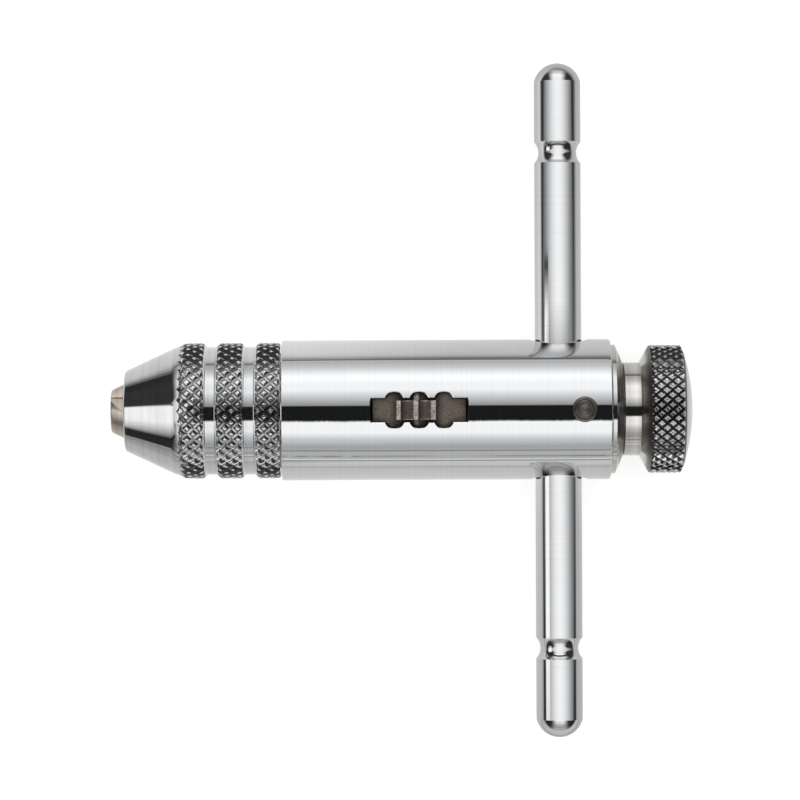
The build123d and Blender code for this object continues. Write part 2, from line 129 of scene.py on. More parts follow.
def middle(edge):
    """Middle of an edge."""
    return (edge.verts[0].co + edge.verts[1].co) / 2


def deselect():
    """Back to object mode, with nothing selected."""
    if bpy.context.object and bpy.context.object.mode != "OBJECT":
        bpy.ops.object.mode_set(mode="OBJECT")
    for thing in bpy.context.selected_objects:
        thing.select_set(False)


def take(piece):
    """Selects one piece and makes it active."""
    deselect()
    piece.select_set(True)
    bpy.context.view_layer.objects.active = piece


def pick(piece, kind, chosen):
    """In edit mode, selects the vertices, edges or faces for which chosen is true."""
    bpy.ops.mesh.select_mode(type=kind)
    bpy.ops.mesh.select_all(action="DESELECT")
    shape = bmesh.from_edit_mesh(piece.data)
    elements = {"VERT": shape.verts, "EDGE": shape.edges, "FACE": shape.faces}[kind]
    for element in elements:
        if chosen(element):
            element.select_set(True)
    shape.select_flush_mode()
    bmesh.update_edit_mesh(piece.data)


def modifier(piece, kind, **settings):
    """Adds a modifier to a piece and applies it."""
    take(piece)
    added = piece.modifiers.new(kind, kind)
    for key, value in settings.items():
        setattr(added, key, value)
    bpy.ops.object.modifier_apply(modifier=added.name)


def settle(piece, name=None, smooth=12):
    """Puts a piece's place into its mesh, joins its doubles and shades it by angle."""
    take(piece)
    bpy.ops.object.transform_apply(location=True, rotation=True, scale=True)
    bpy.ops.object.mode_set(mode="EDIT")
    bpy.ops.mesh.select_mode(type="VERT")
    bpy.ops.mesh.select_all(action="SELECT")
    bpy.ops.mesh.remove_doubles(threshold=0.0005 * MM)
    bpy.ops.mesh.normals_make_consistent(inside=False)
    bpy.ops.object.mode_set(mode="OBJECT")
    bpy.ops.object.shade_smooth_by_angle(angle=radians(smooth))
    if name:
        piece.name = name
        piece.data.name = name
    return piece


def arc(start, end, radius, turn, steps):
    """Points after start on an arc to end, bulging to the left of the way for turn 1, right for -1."""
    way = Vector(end) - Vector(start)
    halfway = (Vector(start) + Vector(end)) / 2
    reach = sqrt(max(radius**2 - (way.length / 2) ** 2, 0))
    side = Vector((-way.y, way.x)).normalized()
    centre = halfway - turn * reach * side
    first = Vector(start) - centre
    sweep = -turn * 2 * asin(min(way.length / 2 / radius, 1))
    points = []
    for step in range(1, steps + 1):
        angle = sweep * step / steps
        points.append((
            centre.x + first.x * cos(angle) - first.y * sin(angle),
            centre.y + first.x * sin(angle) + first.y * cos(angle),
        ))
    return points


def turned(name, profile, steps=128, closed=True, smooth=12):
    """Draws a profile of (x, radius) corners by extruding one point, and spins it about the X axis."""
    deselect()
    start_x, start_radius = profile[0]
    place = Vector((start_x, 0, start_radius)) * MM
    bpy.ops.mesh.primitive_plane_add(size=0.1 * MM, location=place)
    piece = bpy.context.object
    bpy.ops.object.transform_apply(location=True, rotation=True, scale=True)
    bpy.ops.object.mode_set(mode="EDIT")
    bpy.ops.mesh.select_mode(type="VERT")
    bpy.ops.mesh.select_all(action="SELECT")
    bpy.ops.mesh.merge(type="CENTER")
    corners = list(profile) + ([profile[0]] if closed else [])
    for before, after in zip(corners, corners[1:]):
        step = Vector((after[0] - before[0], 0, after[1] - before[1])) * MM
        bpy.ops.mesh.extrude_region_move(TRANSFORM_OT_translate={"value": step})
    bpy.ops.mesh.select_all(action="SELECT")
    bpy.ops.mesh.remove_doubles(threshold=0.0005 * MM)
    bpy.ops.mesh.select_all(action="SELECT")
    bpy.ops.mesh.spin(steps=steps, angle=2 * pi, center=(0, 0, 0), axis=(1, 0, 0))
    bpy.ops.object.mode_set(mode="OBJECT")
    return settle(piece, name, smooth)


def drill(name, radius, low, high, axis, x, sides=64):
    """A round cutting tool from low to high along the Y or Z axis, at a station x."""
    deselect()
    halfway = (low + high) / 2
    centre = {"Y": (x, halfway, 0), "Z": (x, 0, halfway)}[axis]
    turn = {"Y": (pi / 2, 0, 0), "Z": (0, 0, 0)}[axis]
    bpy.ops.mesh.primitive_cylinder_add(
        vertices=sides,
        radius=radius * MM,
        depth=(high - low) * MM,
        location=Vector(centre) * MM,
        rotation=turn,
    )
    piece = bpy.context.object
    bpy.ops.object.transform_apply(location=True, rotation=True, scale=True)
    piece.name = name
    return piece


def slab(name, x_range, y_range, z_range):
    """A block between pairs of coordinates."""
    deselect()
    ranges = (x_range, y_range, z_range)
    bpy.ops.mesh.primitive_cube_add(
        size=1,
        location=[(low + high) / 2 * MM for low, high in ranges],
        scale=[(high - low) * MM for low, high in ranges],
    )
    piece = bpy.context.object
    bpy.ops.object.transform_apply(location=True, rotation=True, scale=True)
    piece.name = name
    return piece


def combine(piece, tool, operation):
    """Cuts, adds or intersects a piece with a tool, and puts the tool away."""
    modifier(piece, "BOOLEAN", operation=operation, object=tool, solver="EXACT")
    bpy.data.objects.remove(tool)
    return piece


def finish_piece(piece, body, material, slot, *stands_for):
    """Gives a piece its finish and its body, and hides the CAD nodes that it stands for."""
    piece.data.materials.clear()
    piece.data.materials.append(material)
    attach(piece, body)
    if stands_for:
        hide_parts(*stands_for)
    return piece


def refined(node, name, body, metal, slot, edge, smooth=25):
    """A copy of a CAD node: its triangles joined into faces, its corners eased, its curves shaded smooth."""
    deselect()
    piece = bpy.data.objects.new(name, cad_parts[node].data.copy())
    bpy.context.scene.collection.objects.link(piece)
    take(piece)
    if piece.data.has_custom_normals:
        bpy.ops.mesh.customdata_custom_splitnormals_clear()
    bpy.ops.object.mode_set(mode="EDIT")
    bpy.ops.mesh.select_mode(type="VERT")
    bpy.ops.mesh.select_all(action="SELECT")
    bpy.ops.mesh.remove_doubles(threshold=0.001 * MM)
    bpy.ops.mesh.dissolve_limited(angle_limit=radians(0.4))
    bpy.ops.object.mode_set(mode="OBJECT")
    modifier(
        piece,
        "BEVEL",
        width=edge * MM,
        segments=2,
        limit_method="ANGLE",
        angle_limit=radians(40),
    )
    settle(piece, name, smooth)
    return finish_piece(piece, body, metal, slot, node)


# Shader maths written as sums

class Wire:
    """A node's output. Sums on it add Math nodes to its tree."""

    def __init__(self, board, socket):
        self.board = board
        self.socket = socket

    def sum(self, operation, *values):
        return self.board.node("ShaderNodeMath", {"operation": operation}, dict(enumerate(values)))

    def __add__(self, other):
        return self.sum("ADD", self, other)

    def __radd__(self, other):
        return self.sum("ADD", other, self)

    def __sub__(self, other):
        return self.sum("SUBTRACT", self, other)

    def __rsub__(self, other):
        return self.sum("SUBTRACT", other, self)

    def __mul__(self, other):
        return self.sum("MULTIPLY", self, other)

    def __rmul__(self, other):
        return self.sum("MULTIPLY", other, self)

    def __truediv__(self, other):
        return self.sum("DIVIDE", self, other)

    def __pow__(self, other):
        return self.sum("POWER", self, other)

    def __abs__(self):
        return self.sum("ABSOLUTE", self)

    def larger(self, other):
        return self.sum("MAXIMUM", self, other)

    def smaller(self, other):
        return self.sum("MINIMUM", self, other)

    def fall(self, start, end):
        """Falls smoothly from 1 to 0 as this goes from start to end."""
        return self.ramp(start, end, 1.0, 0.0)

    def ramp(self, start, end, low=0.0, high=1.0):
        """Rises smoothly from low to high as this goes from start to end."""
        return self.board.node(
            "ShaderNodeMapRange",
            {"interpolation_type": "SMOOTHSTEP"},
            {"Value": self, 1: start, 2: end, 3: low, 4: high},
        )

    def line(self, start, end, low=0.0, high=1.0):
        """Goes straight from low to high as this goes from start to end, and stays there."""
        return self.board.node(
            "ShaderNodeMapRange",
            {"interpolation_type": "LINEAR"},
            {"Value": self, 1: start, 2: end, 3: low, 4: high},
        )

    def slopes(self, level, *changes):
        """A level changed by straight slopes, each given as its start, its end and its rise."""
        for start, end, rise in changes:
            level = level + self.line(start, end, 0, rise)
        return level


class Board:
    """A node tree being wired."""

    def __init__(self, tree):
        self.tree = tree
        tree.nodes.clear()

    def node(self, kind, settings=None, inputs=None, output=0):
        """Adds a node: its settings first, then its sockets' values or links."""
        added = self.tree.nodes.new(kind)
        for key, value in (settings or {}).items():
            setattr(added, key, value)
        for key, value in (inputs or {}).items():
            if isinstance(value, Wire):
                self.tree.links.new(value.socket, added.inputs[key])
            else:
                added.inputs[key].default_value = value
        return Wire(self, added.outputs[output]) if added.outputs else None

    def place(self):
        """Place on the object, in metres, as three wires."""
        where = self.node("ShaderNodeTexCoord", output="Object")
        return [self.node("ShaderNodeSeparateXYZ", inputs={0: where}, output=axis) for axis in range(3)]

    def noise(self, size, x, y=0.0, z=0.0, detail=2.0, roughness=0.5):
        """Soft noise from 0 to 1, whose spots are about a size across in the units of the place given."""
        where = self.node("ShaderNodeCombineXYZ", inputs={0: x / size, 1: y / size, 2: z / size})
        return self.node(
            "ShaderNodeTexNoise",
            inputs={"Vector": where, "Scale": 1.0, "Detail": detail, "Roughness": roughness},
        )

    def mix(self, share, first, second):
        """A colour between two others."""
        return self.node(
            "ShaderNodeMix",
            {"data_type": "RGBA"},
            {0: share, 6: first, 7: second},
            output=2,
        )

    def bump(self, height, distance, normal=None):
        """A normal tilted by a height from 0 to 1, where 1 is the distance in millimetres."""
        inputs = {"Height": height, "Distance": distance * MM, "Strength": 1.0}
        if normal:
            inputs["Normal"] = normal
        return self.node("ShaderNodeBump", inputs=inputs)


def finish(name):
    """A new material with its board."""
    material = bpy.data.materials.new(name)
    material.use_nodes = True
    return material, Board(material.node_tree)


def shade(board, **inputs):
    """Ends a material with the main shader."""
    named = {key.replace("_", " ").title(): value for key, value in inputs.items()}
    shader = board.node("ShaderNodeBsdfPrincipled", inputs=named)
    board.node("ShaderNodeOutputMaterial", inputs={"Surface": shader})


def grey(level, warmth=0.0):
    """A metal's colour: a grey with a little red added and blue taken away."""
    return (level * (1 + warmth), level, level * (1 - warmth), 1)


def turned_metal(name, light, dark, axis, rings, ring_depth, roughness, grain=0.0, clouds=0.3, shade_mask=None):
    """
    Bare or plated steel off a lathe, between a light and a dark grey, with fine rings round an axis.
    The width of the rings, their depth and the depth of the specks, grain, are in millimetres. Clouds is the
    share of blotches in the tint, and the shade mask tells the share of painted black shade from a place.
    """
    material, board = finish(name)
    place = board.place()
    along = place[axis]
    side = [wire for index, wire in enumerate(place) if index != axis]
    fine = board.noise(rings * MM, along, detail=3.0, roughness=0.6)
    coarse = board.noise(6 * rings * MM, along)
    cloud = board.noise(3 * MM, along, *side, detail=4.0)
    tint = board.mix(((1 - clouds) * coarse + clouds * cloud).ramp(0.35, 0.7), light, dark)
    gloss = roughness * (0.80 + 0.3 * coarse + 0.3 * clouds * cloud)
    normal = board.bump(0.7 * fine + 0.3 * coarse, ring_depth)
    if grain:
        speck = board.noise(0.12 * MM, along, *side)
        normal = board.bump(speck, grain, normal=normal)
    # Painted shade: the mask darkens the tint towards black and dulls the gloss.
    if shade_mask:
        share = shade_mask(*place)
        tint = board.mix(share, tint, grey(0.012))
        gloss = gloss + 0.4 * share
    shade(board, base_color=tint, metallic=1.0, roughness=gloss, normal=normal)
    return material


def shade_in_openings(x, y, z):
    """Painted shade, black, on the walls of the selector's window below its bright lip, and round the bar's
    holes.
    """
    depth = housing_radius - (y * y + z * z) ** 0.5 / MM
    from_window = abs(x / MM - window_x)
    in_window = from_window.fall(window_half_length + 0.4, window_half_length + 0.6)
    in_window = in_window * abs(y / MM).fall(window_half_width + 1.3, window_half_width + 1.4)
    walls = depth.ramp(0.08, 0.11) * in_window * (z / MM).ramp(8.9, 9.0)
    from_bar = ((x / MM - bar_x) ** 2 + (z / MM) ** 2) ** 0.5
    in_mouth = from_bar.fall(bar_radius + 0.90, bar_radius + 1.20) * abs(z / MM).fall(1.2, 2.4)
    in_gap = 0.7 * from_bar.fall(bar_radius + 0.25, bar_radius + 0.60)
    return walls + in_mouth.larger(in_gap)


def shade_beside_neck(x, y, z):
    """Painted shade, dark and dull, on the two cones that face each other across the knob's neck."""
    station = x / MM
    on_knob = station.ramp(neck_end + 0.4, neck_end + 1.2, 0.0, 0.75)
    on_knob = on_knob * station.fall(grip_start + 0.01, grip_start + 0.05)
    on_bush = station.ramp(flange_end + 0.10, flange_end + 0.50, 0.0, 0.55)
    on_bush = on_bush * station.fall(bush_rear + 0.01, bush_rear + 0.05)
    return on_knob + on_bush


def shade_in_knob_pockets(x, y, z):
    """Painted shade in the pockets of the knob's knurling."""
    depth = knob_radius - (y * y + z * z) ** 0.5 / MM
    return depth.ramp(0.28, 0.35, 0.0, 0.9)


def shade_in_sleeve_pockets(x, y, z):
    """Painted shade on the flanks of the sleeve's knurling, whose first band follows the nose's cone."""
    cone = (x / MM - sleeve_front) * cone_rise + nose_radius
    depth = cone.smaller(sleeve_radius) - (y * y + z * z) ** 0.5 / MM
    on_flanks = depth.ramp(0.08, 0.18, 0.0, 0.66) * depth.fall(0.31, 0.34)
    return on_flanks * (x / MM).ramp(band_start - 0.02, band_start + 0.68)


# Metals

# The housing, the sleeve's knurling, the knob and its grip take painted shade from the masks above.
housing_chrome = turned_metal(
    "housing_chrome", grey(0.76), grey(0.73), axis=0,
    rings=0.08, ring_depth=0.0004, roughness=0.045, shade_mask=shade_in_openings,
)
sleeve_chrome = turned_metal(
    "sleeve_chrome", grey(0.70), grey(0.60), axis=0,
    rings=0.14, ring_depth=0.0056, roughness=0.06,
)
knurl_chrome = turned_metal(
    "knurl_chrome", grey(0.78), grey(0.60), axis=0,
    rings=0.30, ring_depth=0.0012, roughness=0.05, shade_mask=shade_in_sleeve_pockets,
)
bar_chrome = turned_metal(
    "bar_chrome", grey(0.72), grey(0.69), axis=1,
    rings=0.09, ring_depth=0.0004, roughness=0.06,
)
knob_chrome = turned_metal(
    "knob_chrome", grey(0.72, 0.04), grey(0.48, 0.06), axis=0,
    rings=0.16, ring_depth=0.0026, roughness=0.08, clouds=0.0, shade_mask=shade_beside_neck,
)
grip_chrome = turned_metal(
    "grip_chrome", grey(0.76), grey(0.56), axis=0,
    rings=0.30, ring_depth=0.0012, roughness=0.045, shade_mask=shade_in_knob_pockets,
)
jaw_steel = turned_metal(
    "jaw_steel", grey(0.60, 0.12), grey(0.46, 0.14), axis=0,
    rings=0.10, ring_depth=0.0012, roughness=0.34, grain=0.001,
)
spindle_steel = turned_metal(
    "spindle_steel", grey(0.42, 0.02), grey(0.34, 0.03), axis=0,
    rings=0.12, ring_depth=0.0015, roughness=0.25, grain=0.001,
)
dark_steel = turned_metal(
    "dark_steel", grey(0.16, 0.03), grey(0.11, 0.02), axis=2,
    rings=0.10, ring_depth=0.0010, roughness=0.30, grain=0.0012,
)
plug_steel = turned_metal(
    "plug_steel", grey(0.32, 0.10), grey(0.12, 0.08), axis=2,
    rings=0.30, ring_depth=0.0030, roughness=0.30, grain=0.026, clouds=0.9,
)
spring_steel = turned_metal(
    "spring_steel", grey(0.45), grey(0.36), axis=2,
    rings=0.10, ring_depth=0.0006, roughness=0.2,
)


def sintered_bronze():
    """Pressed and sintered metal of the selector: brown, speckled and dull, paler where a thumb rubs its
    ribs' tops, with painted highlights on its long edges and wings, painted shade round its feet and floors
    and painted shadow lines beside its ribs.
    """
    dark_brown, pale_brown = (0.17, 0.125, 0.10, 1), (0.40, 0.32, 0.26, 1)
    # Pale tones for the rubbed rib tops and for the painted highlights.
    dull_wear_and_sheen, bright_wear_and_sheen = (0.36, 0.28, 0.25, 1), (0.95, 0.84, 0.78, 1)
    # The second brown is for painted shade.
    blotch_brown, shade_brown = (0.30, 0.27, 0.22, 1), (0.05, 0.04, 0.035, 1)
    # Near black for the painted shadow lines beside the ribs.
    rib_shadow_black = (0.03, 0.025, 0.022, 1)
    material, board = finish("selector_steel")
    x, y, z = board.place()
    grain = board.noise(0.22 * MM, x, y, z, detail=3.0, roughness=0.7)
    pore = board.noise(0.5 * MM, x, y, z)
    blotch = board.noise(1.6 * MM, x, y, z)
    across = abs(y / MM)
    height = z / MM
    along = x / MM - selector_x

    # Paler: the ribs' tops where a thumb rubs them, and painted highlights on the block's long edges and on
    # the middle rib's two wings, brighter towards +Y
    top = height.ramp(selector_top - 0.22, selector_top - 0.08)
    edges = across.ramp(thumb_half_width - 0.14, thumb_half_width - 0.04) * height.ramp(10.0, 10.2)
    wings = abs(along).fall(rib_width / 2 - 0.02, rib_width / 2 + 0.05)
    wings = wings * across.ramp(thumb_half_width, thumb_half_width + 0.08)
    wings = wings * (y / MM).ramp(-1.0, 1.0, 0.25, 0.8)
    wear_and_highlight = top.larger(0.75 * edges).larger(wings)

    # Painted shade: darker round the block's feet and on the floors between its ribs, and a painted shadow
    # line behind each rib
    feet = abs(along).fall(thumb_half_length, thumb_half_length + 1.3) * height.fall(8.6, 9.4)
    floors = height.ramp(selector_top - 0.32, selector_top - 0.10, 0.55, 0.0)
    floors = floors * abs(along).fall(thumb_half_length, thumb_half_length + 0.1)
    painted_shade = (0.75 * feet).larger(floors)
    rib_pitch = thumb_half_length - rib_width / 2
    rib_shadows = 0.0
    for step in (-1, 0, 1):
        past = along - step * rib_pitch - rib_width / 2
        rib_shadow = past.ramp(-0.16, -0.06) * past.fall(0.12, 0.24) * height.ramp(8.9, 9.2)
        rib_shadows = (0.9 * rib_shadow).larger(rib_shadows)

    brown = board.mix(grain.ramp(0.32, 0.68), dark_brown, pale_brown)
    brown = board.mix(blotch.ramp(0.4, 0.7), brown, blotch_brown)
    # Painted shade darkens the brown.
    brown = board.mix(painted_shade, brown, shade_brown)
    # Wear on the rib tops and the painted highlights get the pale tone.
    wear_and_highlight_tint = board.mix(grain.ramp(0.36, 0.60), dull_wear_and_sheen, bright_wear_and_sheen)
    # The painted shadow lines beside the ribs go on last.
    tint = board.mix(rib_shadows, board.mix(wear_and_highlight, brown, wear_and_highlight_tint), rib_shadow_black)
    gloss = 0.48 - 0.10 * wear_and_highlight + 0.1 * pore
    normal = board.bump(0.6 * grain + 0.4 * pore, 0.03)
    shade(board, base_color=tint, metallic=0.7, roughness=gloss, normal=normal)
    return material


selector_steel = sintered_bronze()


# Knurling

def knurl_sheet(name, pitch, count, radius, rows, bridge):
    """One pyramid is modelled, copied into rows and round, and the flat sheet is rolled into a tube."""
    width = 2 * pi * radius / count
    deselect()
    bpy.ops.mesh.primitive_plane_add(size=1)
    tile = bpy.context.object
    bpy.ops.object.mode_set(mode="EDIT")
    bpy.ops.mesh.select_mode(type="FACE")
    bpy.ops.mesh.select_all(action="SELECT")
    bpy.ops.transform.rotate(value=pi / 4, orient_axis="Z", center_override=(0, 0, 0))
    half_diagonals = (pitch * MM / sqrt(2), width * MM / sqrt(2), 1)
    bpy.ops.transform.resize(value=half_diagonals, center_override=(0, 0, 0))
    bpy.ops.mesh.inset(thickness=knurl_valley * MM, depth=0)
    bpy.ops.mesh.extrude_region_move(TRANSFORM_OT_translate={"value": (0, 0, knurl_height * MM)})
    bpy.ops.transform.resize(value=(knurl_tip, knurl_tip, 1))
    bpy.ops.mesh.bevel(offset=crest_bevel * MM, segments=1, affect="EDGES")

    # The bridge raises all four valleys, and then the middles of the two that run one way sink back.
    pick(tile, "VERT", lambda corner: corner.is_boundary)
    bpy.ops.transform.translate(value=(0, 0, bridge * MM))
    pick(tile, "EDGE", lambda edge: edge.is_boundary and middle(edge).x * middle(edge).y > 0)
    bpy.ops.mesh.subdivide(number_cuts=1)
    pick(tile, "VERT", lambda corner: corner.is_boundary and min(map(abs, corner.co.xy)) > 0.2 * MM)
    bpy.ops.transform.translate(value=(0, 0, -bridge * MM))
    bpy.ops.mesh.select_all(action="SELECT")
    bpy.ops.mesh.quads_convert_to_tris(quad_method="FIXED", ngon_method="BEAUTY")
    bpy.ops.mesh.duplicate_move(TRANSFORM_OT_translate={"value": (pitch / 2 * MM, width / 2 * MM, 0)})
    bpy.ops.object.mode_set(mode="OBJECT")
    for copies, step in ((rows, (pitch * MM, 0, 0)), (count, (0, width * MM, 0))):
        modifier(
            tile,
            "ARRAY",
            count=copies,
            use_relative_offset=False,
            use_constant_offset=True,
            constant_offset_displace=step,
        )
    for corner in tile.data.vertices:
        x, y, z = corner.co
        reach = (radius - knurl_height) * MM + z
        angle = y / (radius * MM)
        corner.co = (x, reach * sin(angle), reach * cos(angle))
    return settle(tile, name, 25)


def knurl_tube(name, pitch, count, radius, start, end, bridge):
    """A closed tube of knurling between two stations, its inside well below the valleys."""
    rows = int((end - start) / pitch) + 2
    tube = knurl_sheet(name, pitch, count, radius, rows, bridge)
    take(tube)
    bpy.ops.transform.translate(value=((start - pitch / 2) * MM, 0, 0))
    bpy.ops.object.transform_apply(location=True, rotation=True, scale=True)
    bpy.ops.object.mode_set(mode="EDIT")
    for station, side in ((start, "clear_inner"), (end, "clear_outer")):
        cut = {"plane_co": (station * MM, 0, 0), "plane_no": (1, 0, 0), side: True}
        bpy.ops.mesh.select_all(action="SELECT")
        bpy.ops.mesh.bisect(threshold=1e-8, **cut)
    inside = (radius - knurl_height - knurl_lining) / radius
    pick(tube, "EDGE", lambda edge: edge.is_boundary)
    bpy.ops.mesh.extrude_edges_move()
    bpy.ops.transform.resize(value=(1, inside, inside), center_override=(0, 0, 0))
    bpy.ops.mesh.bridge_edge_loops()
    bpy.ops.object.mode_set(mode="OBJECT")
    return settle(tube, smooth=25)


def knurled_band(name, profile, pitch, count, radius, bridge, sink=None):
    """Knurling cut to a turned profile. Before the station sink it dips with the shoulder under it."""
    spare = 0.3
    stations = [x for x, reach in profile]
    tube = knurl_tube(name, pitch, count, radius, min(stations) - spare, max(stations) + spare, bridge)
    if sink:
        grow_length, grow_depth, shoulder_fall = 0.6, 0.09, 0.044
        valley = radius - knurl_height
        for corner in tube.data.vertices:
            x = corner.co.x / MM
            reach = sqrt(corner.co.y**2 + corner.co.z**2) / MM
            if x < sink and reach > valley - spare:
                before = sink - x
                grown = min(max((x - band_start) / grow_length, 0.0), 1.0)
                floor = valley - shoulder_round + sqrt(shoulder_round**2 - before**2)
                floor -= shoulder_fall * before + grow_depth * (1 - grown)
                allowed = max(cone_at(x) - floor, 0.0) * grown
                raised = floor + (reach - valley) * min(allowed / knurl_height, 1)
                corner.co.y *= raised / reach
                corner.co.z *= raised / reach
    return settle(combine(tube, turned("lathe_tool", profile), "INTERSECT"), smooth=25)


# Chuck sleeve

def sleeve_bore():
    """Inside of the sleeve, from its rear face to the mouth, whose cone clears the jaws by 0.03 mm."""
    slope = tan(radians(cone_half_angle))
    jaw_radius_at_origin = 3.10
    mouth = jaw_radius_at_origin + sleeve_front * slope + 0.03 / cos(radians(cone_half_angle))
    cone_end = sleeve_front + (sleeve_thread_bore - mouth) / slope
    start, end, reach = stop_groove
    return [
        (sleeve_rear, sleeve_relief),
        (end, sleeve_relief),
        (end, reach),
        (start, reach),
        (start, sleeve_relief),
        (sleeve_thread_end, sleeve_relief),
        (sleeve_thread_end, sleeve_thread_bore),
        (cone_end, sleeve_thread_bore),
        (sleeve_front, mouth),
    ]


def cone_at(x):
    """Radius of the sleeve's cone at a station."""
    return nose_radius + (x - sleeve_front) * cone_rise


def make_sleeve():
    """Turned body of the sleeve and its three knurled bands."""
    core = valley_radius - under_valleys
    face = (sleeve_front, nose_radius - nose_round)
    shoulder_start = (shoulder_x - 1.85, cone_at(shoulder_x - 1.85))
    profile = [
        face,
        *arc(face, (sleeve_front + 0.30, nose_radius + 0.08), 0.45, 1, 6),
        shoulder_start,
        *arc(shoulder_start, (shoulder_x - 0.05, core), shoulder_round, 1, 10),
    ]
    for groove_start, groove_end in (front_groove, rear_groove):
        profile += [
            (groove_start - chamfer, core),
            (groove_start, groove_floor),
            (groove_end, groove_floor),
            (groove_end + chamfer, core),
        ]
    profile += [(sleeve_rear - chamfer, core), (sleeve_rear, core - chamfer), *sleeve_bore()]
    body = turned("sleeve_body", profile, 160)
    finish_piece(body, "chuck_sleeve", sleeve_chrome, "sleeve_chrome", "chuck_sleeve")
    below = groove_floor - 0.15
    crest = sleeve_radius - 0.01
    bend = (shoulder_x - 0.90, cone_at(shoulder_x - 0.90) + 0.02)
    stretches = {
        "sleeve_band_front": [
            (band_start, below),
            (band_start, cone_at(band_start) + 0.02),
            bend,
            *arc(bend, (shoulder_x + 0.9, crest), 4.5, 1, 6),
            (front_groove[0] - groove_flank, crest),
            (front_groove[0], groove_floor),
            (front_groove[0], below),
        ],
        "sleeve_band_middle": [
            (front_groove[1], below),
            (front_groove[1], groove_floor),
            (front_groove[1] + groove_flank, crest),
            (rear_groove[0] - groove_flank, crest),
            (rear_groove[0], groove_floor),
            (rear_groove[0], below),
        ],
        "sleeve_band_rear": [
            (rear_groove[1], below),
            (rear_groove[1], groove_floor),
            (rear_groove[1] + groove_flank, crest),
            (sleeve_rear - sleeve_end_chamfer, crest),
            (sleeve_rear, crest - sleeve_end_chamfer),
            (sleeve_rear, below),
        ],
    }
    for name, outline in stretches.items():
        sink = shoulder_x - 0.05 if name == "sleeve_band_front" else None
        band = knurled_band(
            name, outline, sleeve_knurl_pitch, sleeve_knurl_count, sleeve_radius, sleeve_bridge, sink
        )
        finish_piece(band, "chuck_sleeve", knurl_chrome, "sleeve_chrome")


# Housing

def ball_drill():
    """Cutting tool of the ball's hole, which its plug closes."""
    return drill("plug_hole", ball_hole_radius, 2, 12, "Z", plug_x)


def window_outline(spread):
    """Corners of the selector's window from above: a slot with three cross lobes, widened by spread."""
    half_length, half_width = window_half_length + spread, window_half_width + spread
    lobe_radius, lobe_pitch, lobe_centre = 1.25 + spread, 3.56, 1.25
    chord = sqrt(lobe_radius**2 - (half_width - lobe_centre) ** 2)
    upper = [(-half_length, half_width)]
    for step in (-1, 0, 1):
        left = (step * lobe_pitch - chord, half_width)
        right = (step * lobe_pitch + chord, half_width)
        upper += [left, *arc(left, right, lobe_radius, 1, 16)]
    upper.append((half_length, half_width))
    outline = upper + [(-x, -y) for x, y in upper]
    return [Vector((window_x + x, y)) * MM for x, y in outline]


def window_tool():
    """Cutting tool of the selector's window, flared where it meets the barrel's skin to leave a lip."""
    outline = window_outline(0)
    foot = 8.6 * MM
    above_skin = 2.0
    deselect()
    bpy.ops.mesh.primitive_plane_add(size=0.1 * MM, location=(*outline[0], foot))
    tool = bpy.context.object
    tool.name = "window_tool"
    bpy.ops.object.transform_apply(location=True, rotation=True, scale=True)
    bpy.ops.object.mode_set(mode="EDIT")
    bpy.ops.mesh.select_mode(type="VERT")
    bpy.ops.mesh.select_all(action="SELECT")
    bpy.ops.mesh.merge(type="CENTER")
    for before, after in zip(outline, outline[1:] + outline[:1]):
        bpy.ops.mesh.extrude_region_move(TRANSFORM_OT_translate={"value": (*(after - before), 0)})
    bpy.ops.mesh.select_all(action="SELECT")
    bpy.ops.mesh.remove_doubles(threshold=0.0005 * MM)
    bpy.ops.mesh.select_all(action="SELECT")

    # Each ring follows the skin at its own depth and widens upwards, but the last one lies flat above it.
    for spread, depth in ((0.0, window_lip), (0.15, 0.09), (0.43, -0.12), (0.43, -above_skin)):
        bpy.ops.mesh.extrude_edges_move(TRANSFORM_OT_translate={"value": (0, 0, 0.1 * MM)})
        wider = window_outline(spread)
        shape = bmesh.from_edit_mesh(tool.data)
        for corner in shape.verts:
            if corner.select:
                nearest = min(range(len(outline)), key=lambda index: (outline[index] - corner.co.xy).length)
                corner.co.xy = wider[nearest]
                skin = sqrt((housing_radius * MM) ** 2 - corner.co.y**2)
                if depth == -above_skin:
                    skin = housing_radius * MM
                corner.co.z = skin - depth * MM
        bmesh.update_edit_mesh(tool.data)
        outline = wider
    bpy.ops.mesh.select_all(action="SELECT")
    bpy.ops.mesh.fill_holes(sides=0)
    bpy.ops.mesh.select_all(action="SELECT")
    bpy.ops.mesh.normals_make_consistent(inside=False)
    bpy.ops.object.mode_set(mode="OBJECT")
    return tool


